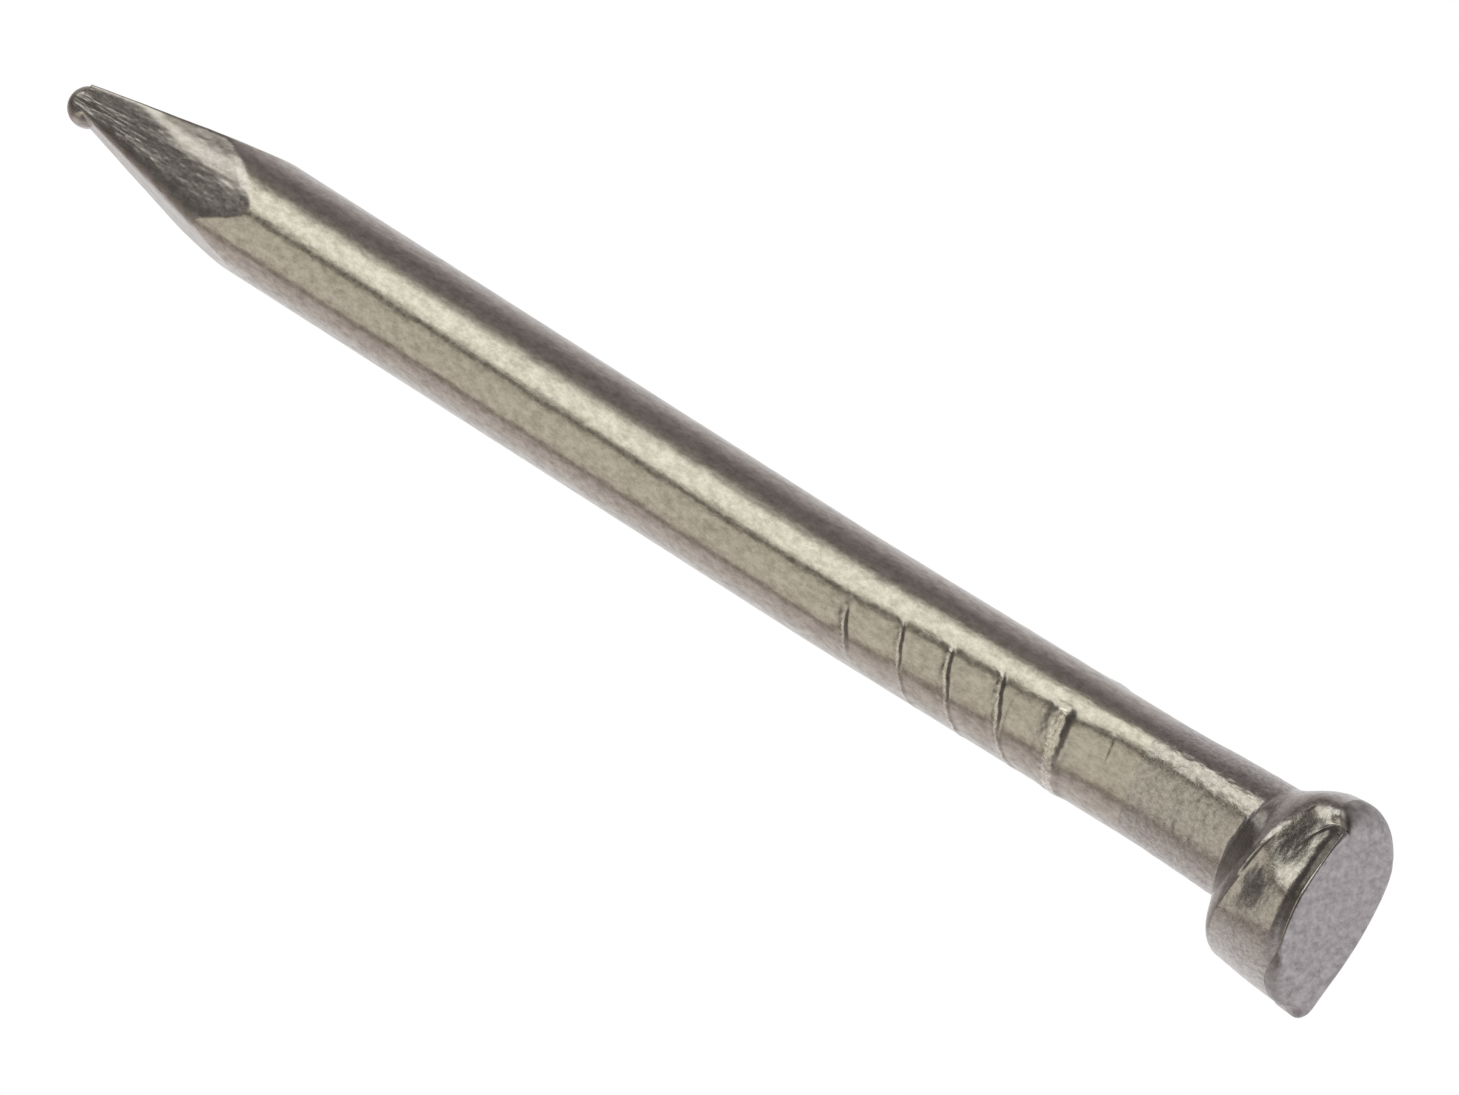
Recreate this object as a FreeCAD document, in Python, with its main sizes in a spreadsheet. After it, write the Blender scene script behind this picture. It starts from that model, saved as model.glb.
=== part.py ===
"""A panel pin: a short round wire nail with a small head, in the five zones that its making leaves.

+Z runs along the plain shank from the tip to the head. The origin is where the axis of the plain shank
meets the striking face, so the whole nail hangs below it. Lengths are in millimetres, angles in degrees.
"""
import FreeCAD, Part
import math
import os

import Sketcher
from FreeCAD import Placement, Rotation, Vector

doc = FreeCAD.newDocument("nail")

# ---------------------------------------------------------------- driving dimensions
sizes = doc.addObject("Spreadsheet::Sheet", "Sizes")

DIMENSIONS = {
    # wire
    "wire_diameter": 1.60,
    "overall_length": 20.5,
    # lower end of each zone, as a depth below the striking face
    "head_depth": 1.50,
    "neck_depth": 3.05,
    "grip_depth": 8.75,
    "point_length": 3.40,
    "point_draw_down": 0.02,
    # pinched point
    "tip_half_width": 0.17,
    "tip_ball_radius": 0.275,
    "tip_ball_drop": 0.10,
    "broad_facet_length": 3.20,
    "left_facet_length": 3.18,
    "right_facet_length": 2.90,
    "tool_clearance": 0.30,
    # slight bend in the gripped zone, leaning the head towards -X
    "bend_depth": 7.90,
    "bend_angle": 0.95,
    "bend_radius": 12.0,
    # grip marks, pressed by two dies that face each other
    "die_direction": -46.0,
    "mark_bore_radius": 0.86,
    "mark_tool_radius": 0.12,
    # neck and head
    "neck_swell": 0.05,
    "head_offset": 0.23,
    "head_side_offset": -0.13,
    "head_turn": 50.0,
    "face_major": 1.65,
    "face_minor": 1.24,
    "lip_thickness": 0.11,
    "lip_overhang": 0.03,
    "shoulder_depth": 1.00,
    "shoulder_scale": 0.875,
    "rim_rounding": 0.05,
}

# depth below the striking face, bite into the wire and slant of each grip mark, from the tip upwards
GRIP_MARKS = [
    (8.30, 0.020, 12.0),
    (7.38, 0.040, 16.0),
    (6.52, 0.040, 18.0),
    (5.77, 0.040, 16.0),
    (5.02, 0.040, 14.0),
    (4.22, 0.045, 6.0),
    (3.46, 0.020, 5.0),
]


def add_cell(row, alias, value):
    """Put one plain number in the sheet, with its name beside it."""
    sizes.set("A%d" % row, alias)
    sizes.set("B%d" % row, str(value))
    sizes.setAlias("B%d" % row, alias)


for row, (alias, value) in enumerate(DIMENSIONS.items(), start=1):
    add_cell(row, alias, value)

row = len(DIMENSIONS)
for number, (depth, bite, slant) in enumerate(GRIP_MARKS, start=1):
    add_cell(row + 1, "mark_depth_%d" % number, depth)
    add_cell(row + 2, "mark_bite_%d" % number, bite)
    add_cell(row + 3, "mark_slant_%d" % number, slant)
    row += 3

doc.recompute()

# ---------------------------------------------------------------- shared drawing steps


def origin_plane(body, role):
    """One of the body's own origin planes, such as XY_Plane."""
    return next(feature for feature in body.Origin.OriginFeatures if feature.Role == role)


def new_sketch(body, role, name):
    """An empty sketch flat on an origin plane of the body."""
    sketch = body.newObject("Sketcher::SketchObject", name)
    sketch.AttachmentSupport = [(origin_plane(body, role), "")]
    sketch.MapMode = "FlatFace"
    return sketch


def wire_section(body, name, height):
    """The round section of the wire, drawn level at a height given as an expression."""
    sketch = new_sketch(body, "XY_Plane", name)
    sketch.setExpression("AttachmentOffset.Base.z", height)
    sketch.addGeometry(Part.Circle(Vector(0, 0, 0), Vector(0, 0, 1), sizes.wire_diameter / 2), False)
    sketch.addConstraint(Sketcher.Constraint("Coincident", 0, 3, -1, 1))
    sketch.addConstraint(Sketcher.Constraint("Diameter", 0, sizes.wire_diameter))
    sketch.setExpression("Constraints[1]", "Sizes.wire_diameter")
    return sketch


def closed_outline(sketch, corners):
    """Straight lines joining the corners, each corner a pair of expressions for its place."""
    first = sketch.GeometryCount
    places = [Vector(sketch.evalExpression(across), sketch.evalExpression(along), 0)
              for across, along in corners]
    count = len(corners)
    for index in range(count):
        sketch.addGeometry(Part.LineSegment(places[index], places[(index + 1) % count]), False)
    for index in range(count):
        line = first + index
        sketch.addConstraint(Sketcher.Constraint("Coincident", line, 2, first + (index + 1) % count, 1))
        for kind, value, expression in zip(("DistanceX", "DistanceY"), places[index], corners[index]):
            constraint = sketch.addConstraint(Sketcher.Constraint(kind, -1, 1, line, 1, value))
            sketch.setExpression("Constraints[%d]" % constraint, expression)


def pad_wire(body, name, height, length):
    """A straight length of the wire, padded upwards from a height."""
    pad = body.newObject("PartDesign::Pad", name)
    pad.Profile = wire_section(body, name + "_section", height)
    pad.setExpression("Length", length)
    return pad


# ---------------------------------------------------------------- point
# The pointing jaws squeeze the wire from four sides, which leaves four flat facets. The jaws that closed
# on the +Y and -Y sides reach highest, and the one on the +X side is steepest. Between the facets the wire
# is drawn down a little, so it tapers.
point = doc.addObject("PartDesign::Body", "Point")
point.Label = "point"
point_wire = point.newObject("PartDesign::AdditiveCone", "point_wire")
point_wire.AttachmentSupport = [(origin_plane(point, "XY_Plane"), "")]
point_wire.MapMode = "FlatFace"
point_wire.setExpression("AttachmentOffset.Base.z", "-Sizes.overall_length + Sizes.tip_ball_drop")
point_wire.setExpression("Height", "Sizes.point_length - Sizes.tip_ball_drop")
point_wire.setExpression("Radius1", "Sizes.wire_diameter / 2 - Sizes.point_draw_down")
point_wire.setExpression("Radius2", "Sizes.wire_diameter / 2")

RADIUS = "Sizes.wire_diameter / 2"
TIP = "-Sizes.overall_length"


def facet_outline(side, facet_length):
    """What a jaw takes away beside the wire: the facet, and the room outside it. side is "" or "-"."""
    top = "%s + Sizes.%s" % (TIP, facet_length)
    outside = "%s(%s + Sizes.tool_clearance)" % (side, RADIUS)
    return [
        ("%s(%s)" % (side, RADIUS), top),
        ("%sSizes.tip_half_width" % side, TIP),
        (outside, TIP),
        (outside, top),
    ]


def pinch(name, role, outlines):
    """Cut a pair of opposite facets right across the wire."""
    sketch = new_sketch(point, role, name + "_sketch")
    for outline in outlines:
        closed_outline(sketch, outline)
    pocket = point.newObject("PartDesign::Pocket", name)
    pocket.Profile = sketch
    pocket.Type = 1
    pocket.Midplane = True
    return pocket


pinch("broad_facets", "YZ_Plane",
      [facet_outline("", "broad_facet_length"), facet_outline("-", "broad_facet_length")])
pinch("narrow_facets", "XZ_Plane",
      [facet_outline("", "right_facet_length"), facet_outline("-", "left_facet_length")])

tip_ball = point.newObject("PartDesign::AdditiveSphere", "tip_ball")
tip_ball.setExpression("Radius", "Sizes.tip_ball_radius")
tip_ball.AttachmentSupport = [(origin_plane(point, "XY_Plane"), "")]
tip_ball.MapMode = "FlatFace"
tip_ball.setExpression("AttachmentOffset.Base.z", "-Sizes.overall_length + Sizes.tip_ball_radius")
point.Tip = tip_ball

# ---------------------------------------------------------------- plain shank
# Drawn wire that no tool touched after the wire mill.
plain_shank = doc.addObject("PartDesign::Body", "PlainShank")
plain_shank.Label = "plain_shank"
pad_wire(plain_shank, "plain_wire", "-Sizes.overall_length + Sizes.point_length",
         "Sizes.overall_length - Sizes.point_length - Sizes.grip_depth")

# ---------------------------------------------------------------- gripped shank
# Two toothed dies held the wire here while the head was struck. They left seven slanted marks on two
# opposite sides, and a bend of just under one degree.
gripped_shank = doc.addObject("PartDesign::Body", "GrippedShank")
gripped_shank.Label = "gripped_shank"
grip_section = wire_section(gripped_shank, "grip_section", "-Sizes.grip_depth")
grip_path = new_sketch(gripped_shank, "XZ_Plane", "grip_path")

lean_angle = float(sizes.bend_angle)
bend_radius = float(sizes.bend_radius)
bend_depth = float(sizes.bend_depth)
TANGENT_LENGTH = "Sizes.bend_radius * tan(Sizes.bend_angle * 0.5deg)"
tangent_length = bend_radius * math.tan(math.radians(lean_angle) / 2)
sine, cosine = math.sin(math.radians(lean_angle)), math.cos(math.radians(lean_angle))

bend_start = Vector(0, -bend_depth - tangent_length, 0)
bend_end = Vector(-tangent_length * sine, -bend_depth + tangent_length * cosine, 0)
bend_centre = Vector(-bend_radius, bend_start.y, 0)
upper_length = bend_depth * cosine - float(sizes.neck_depth) - tangent_length
upper_end = bend_end + Vector(-sine, cosine, 0) * upper_length

grip_path.addGeometry(Part.LineSegment(Vector(0, -float(sizes.grip_depth), 0), bend_start), False)
grip_path.addGeometry(Part.ArcOfCircle(Part.Circle(bend_centre, Vector(0, 0, 1), bend_radius),
                                       0, math.radians(lean_angle)), False)
grip_path.addGeometry(Part.LineSegment(bend_end, upper_end), False)
for constraint, expression in [
        (Sketcher.Constraint("PointOnObject", 0, 1, -2), None),
        (Sketcher.Constraint("Vertical", 0), None),
        (Sketcher.Constraint("DistanceY", -1, 1, 0, 1, -float(sizes.grip_depth)), "-Sizes.grip_depth"),
        (Sketcher.Constraint("DistanceY", -1, 1, 0, 2, bend_start.y),
         "-Sizes.bend_depth - " + TANGENT_LENGTH),
        (Sketcher.Constraint("Tangent", 0, 2, 1, 1), None),
        (Sketcher.Constraint("Tangent", 1, 2, 2, 1), None),
        (Sketcher.Constraint("Radius", 1, bend_radius), "Sizes.bend_radius"),
        (Sketcher.Constraint("Angle", 1, math.radians(lean_angle)), "Sizes.bend_angle * 1deg"),
        (Sketcher.Constraint("Distance", 2, upper_length),
         "Sizes.bend_depth * cos(Sizes.bend_angle * 1deg) - Sizes.neck_depth - " + TANGENT_LENGTH)]:
    index = grip_path.addConstraint(constraint)
    if expression:
        grip_path.setExpression("Constraints[%d]" % index, expression)
doc.recompute()

bent_pipe = gripped_shank.newObject("PartDesign::AdditivePipe", "bent_pipe")
bent_pipe.Profile = grip_section
bent_pipe.Spine = (grip_path, ["Edge1", "Edge2", "Edge3"])

lean = Rotation(Vector(0, 1, 0), -lean_angle)
bend_point = Vector(0, 0, -bend_depth)


def on_wire(depth):
    """Where the middle of the wire is, this far below the striking face, and which way it points."""
    height = bend_depth * cosine - depth
    if height <= 0:
        return Placement(bend_point + Vector(0, 0, height), Rotation())
    return Placement(bend_point + lean.multVec(Vector(0, 0, height)), lean)


def press_mark(number, side):
    """Cut one mark with a ring set off centre, so that it bites only where the die pressed."""
    mark = gripped_shank.newObject("PartDesign::SubtractiveTorus", "mark_%d_side_%d" % (number, side))
    mark.setExpression("Radius1", "Sizes.mark_bore_radius + Sizes.mark_tool_radius")
    mark.setExpression("Radius2", "Sizes.mark_tool_radius")
    bite = float(sizes.get("mark_bite_%d" % number))
    slant = float(sizes.get("mark_slant_%d" % number))
    die = Rotation(Vector(0, 0, 1), float(sizes.die_direction) + side).multVec(Vector(1, 0, 0))
    off_centre = float(sizes.mark_bore_radius) - (float(sizes.wire_diameter) / 2 - bite)
    offset = Placement(die * -off_centre, Rotation(die, slant))
    mark.Placement = on_wire(float(sizes.get("mark_depth_%d" % number))).multiply(offset)
    gripped_shank.Tip = mark


for number in range(1, len(GRIP_MARKS) + 1):
    press_mark(number, 0)
    press_mark(number, 180)

# ---------------------------------------------------------------- neck
# The wire between the dies' mouth and the head swells a little when the head is struck.
neck = doc.addObject("Part::Cone", "Neck")
neck.Label = "neck"
neck.setExpression("Radius1", RADIUS)
neck.setExpression("Radius2", RADIUS + " + Sizes.neck_swell")
neck.setExpression("Height", "Sizes.neck_depth - Sizes.head_depth")
neck.Placement = on_wire(float(sizes.neck_depth))

# ---------------------------------------------------------------- head
# The punch upsets the end of the wire off centre, towards +X and -Y. Metal that escapes between the two dies
# makes the outline longer along their parting line, and leaves a thin lip at the face.
NECK_RADIUS = RADIUS + " + Sizes.neck_swell"
face_place = on_wire(0.0)


def head_section(name, depth, offset, major, minor):
    """An ellipse across the head, its long way along the parting line of the dies. offset is across."""
    section = doc.addObject("Part::Ellipse", name)
    section.setExpression("MajorRadius", major)
    section.setExpression("MinorRadius", minor)
    turn = Rotation(Vector(0, 0, 1), float(sizes.head_turn))
    section.Placement = face_place.multiply(Placement(offset + Vector(0, 0, -depth), turn))
    return section


head_offset = Vector(float(sizes.head_offset), float(sizes.head_side_offset), 0)
lip_thickness = float(sizes.lip_thickness)
collar_major = "(Sizes.face_major - Sizes.lip_overhang)"
collar_minor = "(Sizes.face_minor - Sizes.lip_overhang)"
bottom_section = head_section("collar_bottom", float(sizes.head_depth), Vector(),
                              NECK_RADIUS, NECK_RADIUS)
shoulder_section = head_section("collar_shoulder", float(sizes.shoulder_depth), head_offset,
                                collar_major + " * Sizes.shoulder_scale",
                                collar_minor + " * Sizes.shoulder_scale")
top_section = head_section("collar_top", lip_thickness, head_offset, collar_major, collar_minor)
lip_section = head_section("lip_section", lip_thickness, head_offset,
                           "Sizes.face_major", "Sizes.face_minor")

shoulder = doc.addObject("Part::Loft", "shoulder")
shoulder.Sections = [bottom_section, shoulder_section]
shoulder.Solid = True
shoulder.Ruled = True

collar = doc.addObject("Part::Loft", "collar")
collar.Sections = [shoulder_section, top_section]
collar.Solid = True
collar.Ruled = True

lip = doc.addObject("Part::Extrusion", "lip")
lip.Base = lip_section
lip.DirMode = "Normal"
lip.setExpression("LengthFwd", "Sizes.lip_thickness")
lip.Solid = True

struck_head = doc.addObject("Part::MultiFuse", "struck_head")
struck_head.Shapes = [shoulder, collar, lip]
doc.recompute()


def rim_edges(shape):
    """The numbers of the edges that lie in the striking face."""
    local = face_place.inverse()
    return [number for number, edge in enumerate(shape.Edges, start=1)
            if all(abs(local.multVec(vertex.Point).z) < 1e-4 for vertex in edge.Vertexes)]


head = doc.addObject("Part::Fillet", "Head")
head.Label = "head"
head.Base = struck_head
rounding = float(sizes.rim_rounding)
head.Edges = [(number, rounding, rounding) for number in rim_edges(struck_head.Shape)]

# ---------------------------------------------------------------- check and write
doc.recompute()
zones = [point, plain_shank, gripped_shank, neck, head]

for item in doc.Objects:
    if "Invalid" in item.State or "Error" in item.State:
        raise RuntimeError("%s did not compute: %s" % (item.Label, item.State))

os.makedirs("parts", exist_ok=True)
for zone in zones:
    shape = zone.Shape
    if shape.isNull() or not shape.isValid() or len(shape.Solids) != 1:
        raise RuntimeError("%s has no sound single solid" % zone.Label)
    box = shape.BoundBox
    print("%-14s volume %7.3f  x %6.3f..%6.3f  y %6.3f..%6.3f  z %7.3f..%7.3f" % (
        zone.Label, shape.Volume, box.XMin, box.XMax, box.YMin, box.YMax, box.ZMin, box.ZMax))
    shape.exportStep("parts/%s.step" % zone.Label)
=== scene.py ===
"""The looks of the panel pin: one bright steel wire in the five zones that its making leaves.

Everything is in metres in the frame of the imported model: +Z up the wire, the head on top, the origin in
the striking face. Angles round the wire count from +X towards +Y.
"""
import math

import bpy
import numpy as np
from mathutils import Matrix, Vector


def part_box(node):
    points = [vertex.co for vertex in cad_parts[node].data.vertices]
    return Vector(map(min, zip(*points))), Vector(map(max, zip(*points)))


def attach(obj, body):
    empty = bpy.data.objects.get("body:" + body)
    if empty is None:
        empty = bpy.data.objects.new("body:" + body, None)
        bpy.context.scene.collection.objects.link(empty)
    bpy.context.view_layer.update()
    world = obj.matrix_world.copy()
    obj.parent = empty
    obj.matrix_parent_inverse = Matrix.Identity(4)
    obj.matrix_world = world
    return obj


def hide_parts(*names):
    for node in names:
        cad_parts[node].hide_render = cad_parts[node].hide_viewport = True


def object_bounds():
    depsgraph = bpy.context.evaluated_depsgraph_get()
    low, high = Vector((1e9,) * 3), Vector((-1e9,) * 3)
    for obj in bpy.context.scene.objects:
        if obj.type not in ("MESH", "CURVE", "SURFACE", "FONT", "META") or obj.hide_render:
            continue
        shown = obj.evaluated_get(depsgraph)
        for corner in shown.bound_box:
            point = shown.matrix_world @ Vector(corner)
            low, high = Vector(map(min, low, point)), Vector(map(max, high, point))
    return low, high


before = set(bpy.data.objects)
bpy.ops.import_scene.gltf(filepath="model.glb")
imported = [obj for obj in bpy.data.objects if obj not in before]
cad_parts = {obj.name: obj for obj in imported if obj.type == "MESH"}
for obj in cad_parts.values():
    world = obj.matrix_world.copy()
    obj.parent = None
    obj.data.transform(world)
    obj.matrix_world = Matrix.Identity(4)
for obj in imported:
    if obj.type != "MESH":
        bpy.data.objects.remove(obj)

cad_low, cad_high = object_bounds()
scene = bpy.context.scene
MM = 0.001

# ---------------------------------------------------------------- camera
# A long lens, so that the pin hardly tapers from one end to the other. It looks down on the striking face
# by a little over twenty degrees, and is rolled until the pin lies slantwise with its head at lower right.
lens_mm = 700.0
camera_distance = 0.361
camera_elevation = math.radians(20.5)
pin_slope = math.radians(32.57)
aim = Vector((0.33 * MM, 0.0, -9.56 * MM))

back = Vector((0.0, -math.cos(camera_elevation), math.sin(camera_elevation)))
upright = Vector((0.0, math.sin(camera_elevation), math.cos(camera_elevation)))
sideways = Vector((1.0, 0.0, 0.0))
camera_right = math.cos(pin_slope) * upright - math.sin(pin_slope) * sideways
camera_up = -math.sin(pin_slope) * upright - math.cos(pin_slope) * sideways

camera_data = bpy.data.cameras.new("camera")
camera_data.lens = lens_mm
camera_data.sensor_width = 36.0
camera_data.clip_start = 0.01
camera_data.clip_end = 10.0
camera = bpy.data.objects.new("camera", camera_data)
scene.collection.objects.link(camera)
turn = Matrix((camera_right, camera_up, back)).transposed().to_4x4()
camera.matrix_world = Matrix.Translation(aim + back * camera_distance) @ turn
scene.camera = camera
scene.view_settings.view_transform = "Standard"


# ---------------------------------------------------------------- light and floor
# A light tent of four rings, one above another: a bright strip beside the camera, a wide soft panel on its
# other side and darker gaps between. The floor is a white sheet at the tip, lit evenly, mirroring nothing.
def linear(code):
    """A colour written as sRGB hex, as linear red, green, blue and alpha."""
    levels = [int(code[i:i + 2], 16) / 255 for i in (1, 3, 5)]
    return [v / 12.92 if v <= 0.04045 else ((v + 0.055) / 1.055) ** 2.4 for v in levels] + [1.0]


def add_node(tree, kind, inputs=None, **settings):
    """Add a node, make its settings, and give each input a value or link it to another node's output."""
    node = tree.nodes.new(kind)
    for name, value in settings.items():
        setattr(node, name, value)
    for name, value in (inputs or {}).items():
        if isinstance(value, bpy.types.NodeSocket):
            tree.links.new(value, node.inputs[name])
        else:
            node.inputs[name].default_value = value
    return node


def set_stops(ramp_node, stops):
    """Put (place, colour) stops on a colour ramp."""
    elements = ramp_node.color_ramp.elements
    while len(elements) > 1:
        elements.remove(elements[-1])
    for index, (place, colour) in enumerate(stops):
        element = elements[0] if index == 0 else elements.new(place)
        element.position = place
        element.color = linear(colour)


# Each ring of the tent, as seen from the pin: degrees round from the camera towards -X, and the colour.
# The level ring is the one that lights the wire, and the other three light the head and the facets.
TENT_LEVEL = [
    (-180, "#D6D3D3"), (-142, "#D3D1D1"), (-116, "#C6C0BC"), (-97, "#BBB2AE"), (-84, "#AFA59E"),
    (-80, "#7D746C"), (-76, "#7D746C"), (-71, "#C0B8AA"), (-60, "#C6C0B2"), (-20, "#C5BFB0"),
    (-13, "#B8B1A1"), (-9, "#5C544D"), (-3, "#5C544D"), (3, "#D8D4C4"), (10, "#FCFAEA"),
    (38, "#FCFAEA"), (52, "#A9A499"), (62, "#75706D"), (88, "#6E6867"), (102, "#827C7B"),
    (122, "#A9A3A2"), (148, "#C6C4C5"), (180, "#D6D3D3"),
]
TENT_LOW = [
    (-180, "#B0AAA7"), (-110, "#968E89"), (-84, "#857D77"), (-60, "#7A7470"), (-34, "#605C59"),
    (4, "#5C5856"), (12, "#FCFAF2"), (44, "#FCFAF2"), (58, "#75706D"), (96, "#716B68"),
    (128, "#968E8B"), (180, "#B0AAA7"),
]
TENT_UNDER = [
    (-180, "#7D7673"), (-90, "#78716E"), (-20, "#625D5A"), (10, "#625D5A"), (45, "#928C88"),
    (120, "#8F8885"), (180, "#7D7673"),
]
TENT_HIGH = [
    (-180, "#DED8DC"), (-110, "#B8B1B1"), (-60, "#66605C"), (0, "#4E4946"), (60, "#4E4946"),
    (120, "#9E9898"), (180, "#DED8DC"),
]
tent_strength = 1.3

world = bpy.data.worlds.new("light_tent")
scene.world = world
world.use_nodes = True
tree = world.node_tree
tree.nodes.clear()
direction = add_node(tree, "ShaderNodeTexCoord").outputs["Generated"]
axes = add_node(tree, "ShaderNodeSeparateXYZ", {"Vector": direction})
towards_x = add_node(tree, "ShaderNodeMath", {0: axes.outputs["X"], 1: -1.0}, operation="MULTIPLY")
towards_y = add_node(tree, "ShaderNodeMath", {0: axes.outputs["Y"], 1: -1.0}, operation="MULTIPLY")
heading = add_node(tree, "ShaderNodeMath", {0: towards_x.outputs[0], 1: towards_y.outputs[0]},
                   operation="ARCTAN2")
place = add_node(tree, "ShaderNodeMapRange", {"Value": heading.outputs[0], "From Min": -math.pi,
                                              "From Max": math.pi})
rings = []
for ring in (TENT_UNDER, TENT_LOW, TENT_LEVEL, TENT_HIGH):
    ramp = add_node(tree, "ShaderNodeValToRGB", {"Fac": place.outputs[0]})
    set_stops(ramp, [(angle / 360 + 0.5, colour) for angle, colour in ring])
    rings.append(ramp.outputs["Color"])


def height_step(low_degrees, high_degrees):
    """0 below the first elevation and 1 above the second, with an even rise between them."""
    return add_node(tree, "ShaderNodeMapRange", {
        "Value": axes.outputs["Z"], "From Min": math.sin(math.radians(low_degrees)),
        "From Max": math.sin(math.radians(high_degrees))}, interpolation_type="SMOOTHSTEP").outputs[0]


# Elevations, in degrees, between which each ring gives way to the one above it.
RING_STEPS = [(-66, -50), (-37, -26), (-10, 6)]
tent = rings[0]
for (step_low, step_high), ring in zip(RING_STEPS, rings[1:]):
    tent = add_node(tree, "ShaderNodeMix", {"Factor": height_step(step_low, step_high), 6: tent, 7: ring},
                    data_type="RGBA").outputs[2]
tent_light = add_node(tree, "ShaderNodeBackground", {"Color": tent, "Strength": tent_strength})
backdrop = add_node(tree, "ShaderNodeBackground", {"Color": linear("#FFFFFF"), "Strength": 1.0})
seen = add_node(tree, "ShaderNodeLightPath").outputs["Is Camera Ray"]
mixed = add_node(tree, "ShaderNodeMixShader", {0: seen, 1: tent_light.outputs[0], 2: backdrop.outputs[0]})
add_node(tree, "ShaderNodeOutputWorld", {"Surface": mixed.outputs[0]})

floor_half = 0.5
floor_height = cad_low.z
floor_mesh = bpy.data.meshes.new("floor")
floor_corners = [(floor_half * x, floor_half * y, floor_height)
                 for x, y in ((-1, -1), (1, -1), (1, 1), (-1, 1))]
floor_mesh.from_pydata(floor_corners, [], [(0, 1, 2, 3)])
white_sheet = bpy.data.materials.new("white_sheet")
white_sheet.use_nodes = True
tree = white_sheet.node_tree
tree.nodes.clear()
sheet_light = add_node(tree, "ShaderNodeEmission", {"Color": linear("#FFFFFF"), "Strength": 1.0})
add_node(tree, "ShaderNodeOutputMaterial", {"Surface": sheet_light.outputs[0]})
floor_mesh.materials.append(white_sheet)
floor = bpy.data.objects.new("floor", floor_mesh)
scene.collection.objects.link(floor)
floor.visible_glossy = False
floor.visible_diffuse = False
floor.visible_shadow = False

# ---------------------------------------------------------------- plain shank
# Mild steel wire, drawn bright through a round die, which leaves faint lengthwise lines and a fine grain.
# No other tool has touched this stretch. It sets the wire's radius and middle line for every zone.
AROUND = 320
shank_low, shank_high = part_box("plain_shank")
wire_radius = (shank_high.y - shank_low.y) / 2
tip_height = cad_low.z
angles = np.linspace(0.0, 2 * np.pi, AROUND, endpoint=False)[None, :]

bend_height = -7.90 * MM
bend_angle = math.radians(0.95)
bend_radius = 12.0 * MM
bend_start = bend_height - bend_radius * math.tan(bend_angle / 2)


def wire_middle(along):
    """The wire's middle line: straight up, then a short arc, then straight on at the bend's angle."""
    turned = np.clip((along - bend_start) / bend_radius, 0.0, bend_angle)
    beyond = np.maximum(along - bend_start - bend_radius * bend_angle, 0.0)
    x = -bend_radius * (1 - np.cos(turned)) - beyond * np.sin(turned)
    z = np.minimum(along, bend_start) + bend_radius * np.sin(turned) + beyond * np.cos(turned)
    return x, z, turned


def on_wire(along, across_x, across_y):
    """Carry a level section (across_x, across_y) along the wire's middle line, square to it."""
    x, z, turned = wire_middle(along)
    return np.stack(np.broadcast_arrays(x + across_x * np.cos(turned), across_y,
                                        z + across_x * np.sin(turned)), axis=-1)


def section(distance, around, along, skin):
    """The level section whose tangent line at each angle lies at distance(around, along) from the
    middle line: that distance outwards plus its change per radian sideways. skin moves it outwards."""
    step = 0.001
    change = (distance(around + step, along) - distance(around - step, along)) / (2 * step)
    out = distance(around, along) + skin
    return out * np.cos(around) - change * np.sin(around), out * np.sin(around) + change * np.cos(around)


def rough(around, along, step_around, step_along, seed):
    """Smooth random heights from -1 to 1: a lattice of random values, eased between its points by a
    fifth-power curve, closed round the wire so that it has no seam, and a tenth longer than the pin."""
    count = max(3, round(2 * math.pi * wire_radius / step_around))
    rows = int(-1.1 * tip_height / step_along) + 4
    lattice = np.random.default_rng(seed).uniform(-1.0, 1.0, (rows, count))
    across = np.mod(around, 2 * np.pi) / (2 * np.pi) * count
    up = np.clip((along - tip_height) / step_along, 0.0, rows - 2.001)
    i, j = np.floor(across).astype(int), np.floor(up).astype(int)
    a, b = across - i, up - j
    a = a ** 3 * (a * (6 * a - 15) + 10)
    b = b ** 3 * (b * (6 * b - 15) + 10)
    left, right = i % count, (i + 1) % count
    below = lattice[j, left] * (1 - a) + lattice[j, right] * a
    above = lattice[j + 1, left] * (1 - a) + lattice[j + 1, right] * a
    return below * (1 - b) + above * b


def wire_grain(around, along):
    """The drawn skin: lengthwise die lines, shallow dimples and a fine grain, added up."""
    lines = 0.25e-6 * rough(around, along, 0.05 * MM, 1.6 * MM, 1)
    dimples = 1.1e-6 * rough(around, along, 0.14 * MM, 0.20 * MM, 2)
    grain = 0.50e-6 * rough(around, along, 0.045 * MM, 0.055 * MM, 3)
    return lines + dimples + grain


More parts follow.
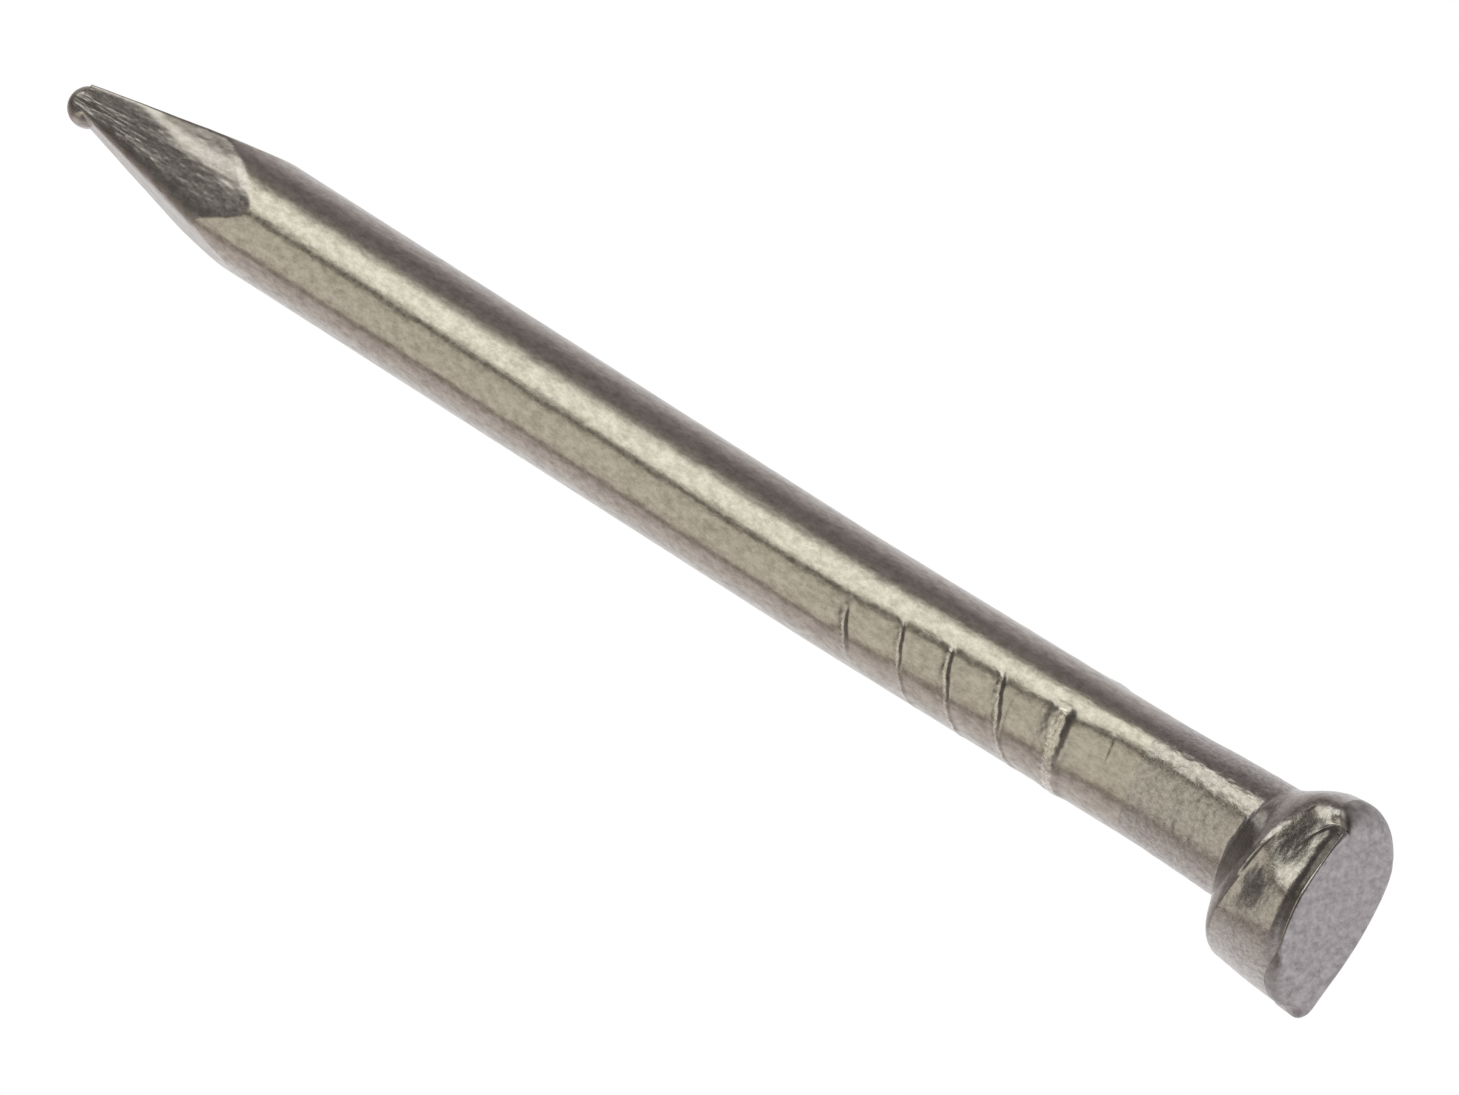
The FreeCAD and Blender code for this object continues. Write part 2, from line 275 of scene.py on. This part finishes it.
def new_piece(name, rings, cap_low, cap_high):
    """A closed mesh from rings of points, joined by quads and closed at each end by a fan.

    A cap is "flat" where the wire goes on in the next zone, and "smooth" where the skin closes.
    """
    rows, count = rings.shape[:2]
    points = np.concatenate([rings.reshape(-1, 3), rings[[0, -1]].mean(axis=1)])
    low_middle, high_middle = rows * count, rows * count + 1
    here = np.arange(count)
    after = (here + 1) % count
    row = np.arange(rows - 1)[:, None] * count
    quads = np.stack([row + here, row + after, row + count + after, row + count + here], axis=-1)
    top = (rows - 1) * count
    fans = np.concatenate([np.stack([after, here, np.full(count, low_middle)], axis=-1),
                           np.stack([top + here, top + after, np.full(count, high_middle)], axis=-1)])
    loops = np.concatenate([quads.reshape(-1), fans.reshape(-1)])
    sides = np.concatenate([np.full((rows - 1) * count, 4), np.full(2 * count, 3)])
    mesh = bpy.data.meshes.new(name)
    mesh.vertices.add(len(points))
    mesh.vertices.foreach_set("co", points.reshape(-1).astype(np.float32))
    mesh.loops.add(len(loops))
    mesh.loops.foreach_set("vertex_index", loops.astype(np.int32))
    mesh.polygons.add(len(sides))
    mesh.polygons.foreach_set("loop_start", (np.cumsum(sides) - sides).astype(np.int32))
    mesh.update(calc_edges=True)
    flat = np.zeros(len(sides), bool)
    flat[-2 * count:-count] = cap_low == "flat"
    flat[-count:] = cap_high == "flat"
    mesh.attributes.new("sharp_face", "BOOLEAN", "FACE").data.foreach_set("value", flat)
    ends = np.zeros(2 * len(mesh.edges), np.int32)
    mesh.edges.foreach_get("vertices", ends)
    ends = ends.reshape(-1, 2)
    sharp = (ends.max(axis=1) < count) & (cap_low == "flat")
    sharp |= (ends.min(axis=1) >= top) & (ends.max(axis=1) < top + count) & (cap_high == "flat")
    mesh.attributes.new("sharp_edge", "BOOLEAN", "EDGE").data.foreach_set("value", sharp)
    mesh.validate()
    piece = bpy.data.objects.new(name, mesh)
    scene.collection.objects.link(piece)
    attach(piece, "root")
    return piece


def steel(name, light, dark, mottle_mm, roughness, rough_spread, grain_mm, grain_height,
          stretch=(1.0, 1.0, 1.0)):
    """Bare steel: two close greys in soft patches, uneven roughness, and a fine grain in relief.

    mottle_mm and grain_mm are the sizes of one patch and one grain in millimetres, grain_height is
    in metres, and stretch draws both patterns out along X, Y and Z.
    """
    material = bpy.data.materials.new(name)
    material.use_nodes = True
    tree = material.node_tree
    tree.nodes.clear()
    place = add_node(tree, "ShaderNodeTexCoord").outputs["Object"]
    drawn = add_node(tree, "ShaderNodeMapping", {"Vector": place,
                                                 "Scale": [1 / length for length in stretch]})
    patches = add_node(tree, "ShaderNodeTexNoise", {"Vector": drawn.outputs[0],
                                                    "Scale": 1 / (mottle_mm * MM), "Detail": 5.0,
                                                    "Roughness": 0.75})
    grains = add_node(tree, "ShaderNodeTexNoise", {"Vector": drawn.outputs[0],
                                                   "Scale": 1 / (grain_mm * MM), "Detail": 2.0,
                                                   "Roughness": 0.6})
    share = add_node(tree, "ShaderNodeMapRange", {"Value": patches.outputs[0], "From Min": 0.32,
                                                  "From Max": 0.62})
    colour = add_node(tree, "ShaderNodeMix", {"Factor": share.outputs[0], 6: linear(dark),
                                              7: linear(light)}, data_type="RGBA")
    uneven = add_node(tree, "ShaderNodeMapRange", {"Value": grains.outputs[0], "From Min": 0.3,
                                                   "From Max": 0.7, "To Min": roughness - rough_spread,
                                                   "To Max": roughness + rough_spread})
    relief = add_node(tree, "ShaderNodeBump", {"Height": grains.outputs[0], "Strength": 1.0,
                                               "Distance": grain_height})
    shader = add_node(tree, "ShaderNodeBsdfPrincipled", {"Base Color": colour.outputs[2],
                                                         "Metallic": 1.0,
                                                         "Roughness": uneven.outputs[0],
                                                         "Normal": relief.outputs[0]})
    add_node(tree, "ShaderNodeOutputMaterial", {"Surface": shader.outputs[0]})
    return material


drawn_steel = steel("bright_drawn_steel", "#D4D1CC", "#ABA6A0", 0.100, 0.19, 0.05, 0.045, 1.1e-6,
                    (1.0, 1.0, 1.5))

shank_rows = 200
along = np.linspace(shank_low.z, shank_high.z, shank_rows)[:, None]
radius = wire_radius + wire_grain(angles, along)
plain_shank = new_piece("plain_shank_skin", on_wire(along, radius * np.cos(angles),
                                                    radius * np.sin(angles)),
                        "flat", "flat")
plain_shank.data.materials.append(drawn_steel)
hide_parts("plain_shank")


# ---------------------------------------------------------------- point
# The end of the wire, squeezed between pointing jaws into flat facets that meet in a blunt round tip. The
# jaws tear the steel a little, so the facets are darker and scratched, and a bulb is left at the very end.
def soft_least(a, b, ease):
    """The smaller of two lengths, rounded off where they are equal. ease sets how far it rounds."""
    return -ease * np.logaddexp(-a / ease, -b / ease)


def facet(around, towards, distance):
    """Reach of one flat facet, along each angle: its distance over the cosine of the angle from it. The
    cosine is kept above a small value, so that the side turned away lies far out and never cuts."""
    least_cosine = 0.12
    away = np.cos(around - math.radians(towards))
    return distance / np.maximum(away, least_cosine)


point_top = shank_low.z
bulb = 0.275 * MM
bulb_rows, facet_rows = 22, 165
bulb_turn = 1.35
turn_up = np.linspace(0.10, bulb_turn, bulb_rows)
facet_rise = np.linspace(bulb * (1 - math.cos(bulb_turn)), point_top - tip_height, facet_rows + 1)[1:]
rise = np.concatenate([bulb * (1 - np.cos(turn_up)), facet_rise])[:, None]
along = tip_height + rise

# Each facet starts at a distance from the middle line and moves out by a share of the rise. The bevel's
# share falls 1.40 mm above the tip, and the right one stops at the wire's own radius.
near = facet(angles, -90.0, 0.190 * MM + 0.190 * rise)
cut_back = 0.5 + 0.5 * np.tanh((rise - 1.40 * MM) / (0.35 * MM))
bevel = facet(angles, -114.0, 0.275 * MM + 0.2485 * rise - (0.013 * MM + 0.0615 * rise) * cut_back)
left = facet(angles, 180.0, 0.232 * MM + 0.184 * rise)
far = facet(angles, 90.0, 0.190 * MM + 0.190 * rise)
right_distance = soft_least(0.080 * MM + 0.2325 * rise, wire_radius, 0.03 * MM)
right = facet(angles, -13.5, right_distance)
ball = np.sqrt(np.maximum(2 * bulb * rise - rise ** 2, 0.0))
ball = np.where(rise < 0.05 * MM, ball, soft_least(ball, near, 0.010 * MM))

radius = soft_least(soft_least(near, bevel, 0.006 * MM + 0.008 * rise), left, 0.010 * MM)
radius = soft_least(soft_least(radius, far, 0.010 * MM), right, 0.020 * MM + 0.034 * rise)
pinched = np.clip((wire_radius - radius) / (0.06 * MM), 0.0, 1.0)
radius = soft_least(radius, wire_radius, 0.004 * MM)
bulged = -soft_least(-radius, -ball, 0.006 * MM)
radius = np.where(rise < 0.8 * bulb, ball, bulged)
slant = along - 0.90 * wire_radius * angles
other_slant = along + 0.25 * wire_radius * angles
tears = (1.1e-6 * rough(angles, slant, 0.16 * MM, 0.05 * MM, 11)
         + 0.35e-6 * rough(angles, along, 0.035 * MM, 0.05 * MM, 12)
         + 1.0e-6 * rough(angles, other_slant, 0.055 * MM, 0.13 * MM, 14)
         + 3.0e-6 * rough(angles, along, 0.25 * MM, 0.40 * MM, 13))
tears = tears * np.clip(rise / bulb, 0.0, 1.0)
radius = radius + (1 - pinched) * wire_grain(angles, along) + pinched * tears
facet_steel = steel("pinched_steel", "#C9C6C2", "#9F9A95", 0.09, 0.22, 0.05, 0.030, 0.35e-6,
                    (1.0, 1.0, 2.5))

point = new_piece("point_skin", on_wire(along, radius * np.cos(angles), radius * np.sin(angles)),
                  "smooth", "flat")
point.data.materials.append(drawn_steel)
point.data.materials.append(facet_steel)
torn = np.concatenate([(pinched[1:] > 0.5).reshape(-1), np.full(AROUND, True), np.full(AROUND, False)])
point.data.polygons.foreach_set("material_index", torn.astype(np.int32))
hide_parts("point")

# ---------------------------------------------------------------- gripped shank
# The same wire, held here by two toothed dies while the head was struck. Their closing pressed it oval,
# more with every tooth towards the head. Each tooth left a ragged ridge with a crushed crest that sparkles
# through its rough relief and is painted near white as a highlight, and the blow bent the wire.
die_heading = math.radians(-46.0)
MARKS = [
    # height of the mark, its slant, the angles it reaches to either side of the die, ridge height,
    # ridge width, softness of its fall, raggedness; then how much of the full oval there is just
    # above it and at the next mark
    (-8.33, 20.0, 12.0, 22.0, 0.002, 0.08, 0.03, 0.001, 0.03, 0.10),
    (-7.34, 17.0, 31.0, 14.0, 0.022, 0.09, 0.020, 0.003, 0.13, 0.33),
    (-6.49, 21.0, 44.0, 40.0, 0.017, 0.08, 0.018, 0.002, 0.28, 0.48),
    (-5.74, 22.0, 44.0, 40.0, 0.020, 0.10, 0.022, 0.005, 0.42, 0.58),
    (-4.94, 22.0, 46.0, 40.0, 0.022, 0.11, 0.025, 0.006, 0.48, 0.72),
    (-4.05, 9.0, 50.0, 40.0, 0.044, 0.30, 0.070, 0.005, 0.62, 0.95),
    (-3.45, 5.0, 41.0, -22.0, 0.012, 0.06, 0.018, 0.003, 0.94, 1.00),
]


def die_offset(around):
    """Signed angle from the middle of the nearer die, from -90 to 90 degrees, in radians."""
    return np.mod(around - die_heading + math.pi / 2, math.pi) - math.pi / 2


def mark_line(height, slant, around):
    """Height of one mark along each angle: it climbs round the wire at its slant."""
    return height * MM + die_offset(around) * wire_radius * math.tan(math.radians(slant))


def rising(value, ease):
    """An even step from 0 below zero to 1 above it, as wide as ease to each side."""
    return 0.5 + 0.5 * np.tanh(value / ease)


def oval_share(around, along):
    """How far the dies pressed the wire oval: a ramp from each mark to the next, and then all of it."""
    ease = 0.03 * MM
    last_climb = 0.9 * MM
    share = np.zeros(np.broadcast(around, along).shape)
    for index, mark in enumerate(MARKS):
        line = mark[0] * MM
        just_above, at_next = mark[8:]
        last = index + 1 == len(MARKS)
        end = line + last_climb if last else MARKS[index + 1][0] * MM
        climb = just_above + (at_next - just_above) * np.clip((along - line) / (end - line), 0.0, 1.0)
        within = rising(along - line, ease) * (1.0 if last else rising(end - along, ease))
        share = share + climb * within
    return share


def gripped_distance(around, along):
    """Tangent distance of the gripped wire: its radius, plus an oval that is widest between the dies
    and a small fourfold part that flattens the side towards each die."""
    oval = 0.090 * np.cos(2 * (around - math.radians(44.0))) - 0.020 * np.sin(4 * (around - 0.061))
    return wire_radius + oval * MM * oval_share(around, along)


def tooth_marks(around, along):
    """The ridge at each mark: a slow rise on its tip side and a steep fall on its head side, ragged on
    top, and fading out at the ends of the tooth. Also how near each place is to a crest, 0 to 1."""
    end_fade = 5.0
    aside = np.degrees(die_offset(around))
    ragged = rough(around, along, 0.045 * MM, 0.045 * MM, 21)
    wander = 0.012 * MM * rough(around, along, 0.12 * MM, 0.20 * MM, 22)
    change = np.zeros(ragged.shape)
    crest = np.zeros(ragged.shape)
    for mark in MARKS:
        height, slant, reach_low, reach_high, ridge, width, soft, rag = mark[:8]
        touch = rising(aside + reach_low, end_fade) * rising(reach_high - aside, end_fade)
        beyond = along - mark_line(height, slant, around) - wander
        top = rising(beyond + width * MM, (0.03 + 0.5 * width) * MM) * rising(-beyond, soft * MM)
        change = change + touch * top * (ridge + rag * ragged) * MM
        crest = crest + touch * top
    return change, crest


grip_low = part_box("gripped_shank")[0].z
# The join is 3.05 mm under the face, and lower by the micron of height that the lean takes off.
neck_start = -3.05 * MM + (1 - math.cos(bend_angle)) * bend_height
grip_rows = 280
along = np.linspace(grip_low, neck_start, grip_rows)[:, None]
marks, crest = tooth_marks(angles, along)
across_x, across_y = section(gripped_distance, angles, along, wire_grain(angles, along) + marks)
gripped_shank = new_piece("gripped_shank_skin", on_wire(along, across_x, across_y),
                          "flat", "flat")
gripped_shank.data.materials.append(drawn_steel)
# The crests are crushed and rough in relief, and their near-white colour, whiter than any steel, is a
# painted highlight.
crushed_steel_painted_highlight = steel("crushed_steel_painted_highlight", "#FBF9F4", "#BDB9B2", 0.05, 0.26, 0.10, 0.035, 4.0e-6)
gripped_shank.data.materials.append(crushed_steel_painted_highlight)
crest_from = 0.75
# Faces near a crest get the crushed steel with its painted highlight.
crest_faces_painted_highlight = np.concatenate([(crest[1:] > crest_from).reshape(-1), np.full(2 * AROUND, False)])
gripped_shank.data.polygons.foreach_set("material_index", crest_faces_painted_highlight.astype(np.int32))
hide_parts("gripped_shank")

# ---------------------------------------------------------------- neck
# The wire between the mouth of the dies and the head. The blow that forms the head squeezes it, so it
# swells and its drawn skin crumples.
neck_end = -1.50 * MM
neck_swell = 0.05 * MM
upset_steel = steel("cold_headed_steel", "#D0CECC", "#9C9896", 0.07, 0.22, 0.07, 0.034, 2.2e-6)


def crumple(around, along):
    """The upset skin: low swellings, folds across the wire and a coarse grain, added up."""
    return (3.0e-6 * rough(around, along, 0.35 * MM, 0.30 * MM, 31)
            + 2.4e-6 * rough(around, along, 0.11 * MM, 0.09 * MM, 32)
            + 1.1e-6 * rough(around, along, 0.045 * MM, 0.045 * MM, 33))


def neck_distance(around, along):
    """Tangent distance of the neck: the gripped wire, swelling evenly from the dies' mouth to the head."""
    share = np.clip((along - neck_start) / (neck_end - neck_start), 0.0, 1.0)
    return gripped_distance(around, along) + neck_swell * share * share * (3 - 2 * share)


neck_rows = 90
upset_length = 0.5 * MM
along = np.linspace(neck_start, neck_end, neck_rows)[:, None]
upset = np.clip((along - neck_start) / upset_length, 0.0, 1.0)
skin = ((1 - upset) * (wire_grain(angles, along) + tooth_marks(angles, along)[0])
        + upset * crumple(angles, along))
across_x, across_y = section(neck_distance, angles, along, skin)
neck = new_piece("neck_skin", on_wire(along, across_x, across_y), "flat", "flat")
neck.data.materials.append(upset_steel)
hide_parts("neck")

# ---------------------------------------------------------------- head
# The end of the wire, upset by one blow of the punch. It spread off centre and furthest along the gap
# between the dies. The near side has a thin lip with a groove under it, and the -X side only rounded over.
parting = math.radians(55.0)
corner_heading = math.radians(137.0)
lobe_heading = math.radians(27)
collar_radius = 1.490 * MM
face_shift_x = 0.198 * MM
face_shift_y = -0.112 * MM


def head_distance(around, along):
    """Tangent distance of the head: the neck's, growing over a rounded shoulder to the collar's. The collar
    is a circle off centre with a twofold, a threefold and a fourfold part and one full corner, and widens
    a little towards the face. The shoulder is short on the +X side and long on the -X side."""
    depth = -along
    start = (1.415 + 0.155 * np.cos(around)) * MM
    length = (0.62 - 0.16 * np.cos(around)) * MM
    climb = np.clip((start - depth) / length, 0.0, 1.0)
    shoulder = np.sin(0.5 * math.pi * climb) ** 1.3
    stretch = 0.45 + 0.55 / (1 + (depth / (0.35 * MM)) ** 2)
    taper = 0.08 + 0.03 * np.sin(around) + 0.080 * np.cos(around) ** 2
    shift = face_shift_x * np.cos(around) + face_shift_y * np.sin(around)
    long_part = MM * (0.203 * np.cos(2 * (around - parting)) + 0.020 * np.cos(3 * (around - 0.063))
                      + 0.035 * np.cos(4 * (around - 0.688)))
    past_corner = np.mod(around - corner_heading + math.pi, 2 * np.pi) - math.pi
    long_part = long_part + 0.150 * MM * np.exp(-(past_corner / 0.55) ** 2)
    collar = collar_radius - taper * depth + shift + long_part * stretch
    neck_part = neck_distance(around, along)
    return neck_part + (collar - neck_part) * shoulder


def window(value, low, high, ease):
    """1 between two values and 0 outside them, with eased sides."""
    return rising(value - low, ease) * rising(high - value, ease)


# How the rim goes round: sharp along the lip, rounded elsewhere, and drawn out in one lobe of flash. The
# groove runs under the lip and lies a little lower at the lip's upper end.
signed = np.mod(angles + math.pi, 2 * np.pi) - math.pi
lip_side = window(signed, math.radians(-137), math.radians(-34), 0.16)
upper_end = rising(-signed - math.radians(105), 0.22)
past_lobe = signed - lobe_heading
lobe = np.where(past_lobe < 0, np.exp(-(past_lobe / 0.22) ** 4), np.exp(-(past_lobe / 0.50) ** 2))
soft_rim = 0.17 + 0.11 * (0.5 - 0.5 * np.cos(signed)) ** 2 - 0.07 * lobe
rim_round = (soft_rim + (0.013 + 0.04 * upper_end - soft_rim) * lip_side) * MM
groove_at = (0.055 + 0.030 * upper_end) * MM

# The side of the head, from the neck up: a fold in the skin that climbs round it, the flash, the groove,
# a waist pressed in below the lip, a shallow dent, and low swellings over all.
collar_rows, rim_rows, face_rows = 140, 16, 90
fall = np.linspace(0.0, 1.0, collar_rows)[:, None] ** 0.80
depth = -neck_end + (rim_round + neck_end) * fall
seam_angle = np.radians(-140.0 + 30.0 * depth / MM + 140.0 * (depth / MM) ** 2)
seam = 0.024 * MM * np.exp(-((signed - seam_angle) * 1.1 / 0.055) ** 2)
seam = seam * window(depth, 0.03 * MM, 0.34 * MM, 0.05 * MM)
flash = 0.135 * MM * lobe * rising(0.36 * MM - depth, 0.012 * MM)
groove_side = np.where(depth > groove_at, 0.095 * MM, 0.022 * MM)
groove = -0.090 * MM * lip_side * (1 - lobe) * np.exp(-((depth - groove_at) / groove_side) ** 2)
waist_depth = 0.28 * MM
waist = window(signed, math.radians(-140), math.radians(-80), 0.20)
waist = waist * np.exp(-(depth / (0.60 * MM)) ** 2) * (1 - 0.54 * np.exp(-(depth / (0.05 * MM)) ** 2))
dent = np.exp(-((signed - math.radians(-71)) / 0.28) ** 2)
dent = -0.10 * MM * dent * np.exp(-((depth - 0.88 * MM) / (0.32 * MM)) ** 2)
blend_in = np.clip((-neck_end - depth) / (0.08 * MM), 0.0, 1.0)
swellings = 4e-6 * rough(angles, -depth, 0.40 * MM, 0.33 * MM, 41)
skin = crumple(angles, -depth) + blend_in * (seam + flash + groove - waist_depth * waist + dent
                                             + swellings)
across_x, across_y = section(head_distance, angles, -depth, skin)

# The rim is a quarter circle from the side to the face, and the face closes in to its middle.
quarter = np.linspace(0.0, np.pi / 2, rim_rows + 1)[1:, None]
rim_depth = rim_round * (1 - np.sin(quarter))
inset = rim_round * (1 - np.cos(quarter))
rim_x = across_x[-1:] - inset * np.cos(angles)
rim_y = across_y[-1:] - inset * np.sin(angles)

shrink = np.linspace(1.0, 0.0, face_rows + 1)[1:-1, None]
face_x = face_shift_x + (rim_x[-1:] - face_shift_x) * shrink
face_y = face_shift_y + (rim_y[-1:] - face_shift_y) * shrink


def face_relief(x, y):
    """The struck face: shallow pits and a coarse grain, from rough() laid flat on two directions."""
    turn_x = x / wire_radius
    return (2.0e-6 * rough(turn_x, tip_height / 2 + y, 0.14 * MM, 0.36 * MM, 51)
            + 0.8e-6 * rough(turn_x, tip_height / 2 + y, 0.06 * MM, 0.15 * MM, 52))


fade_in = np.minimum(1.0, (1 - shrink) * 12)
face_along = fade_in * face_relief(face_x, face_y)
along = np.concatenate([-depth, -rim_depth, face_along])
across_x = np.concatenate([across_x, rim_x, face_x])
across_y = np.concatenate([across_y, rim_y, face_y])
head = new_piece("head_skin", on_wire(along, across_x, across_y), "flat", "smooth")
struck_face = steel("struck_face_steel", "#B3B1B0", "#7F7D7C", 0.12, 0.40, 0.05, 0.050, 0.7e-6,
                    (1.0, 2.6, 1.0))
head.data.materials.append(upset_steel)
head.data.materials.append(struck_face)
# The lip's edge was flattened with the face, so the last rows of the side have its finish too.
lip_rows = 6
face_number = np.arange(len(head.data.polygons))
first_face = (collar_rows - lip_rows) * AROUND
last_side = (collar_rows + rim_rows + face_rows - 2) * AROUND
on_face = (face_number >= first_face) & (face_number < last_side)
on_face |= face_number >= len(face_number) - AROUND
head.data.polygons.foreach_set("material_index", on_face.astype(np.int32))
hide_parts("head")
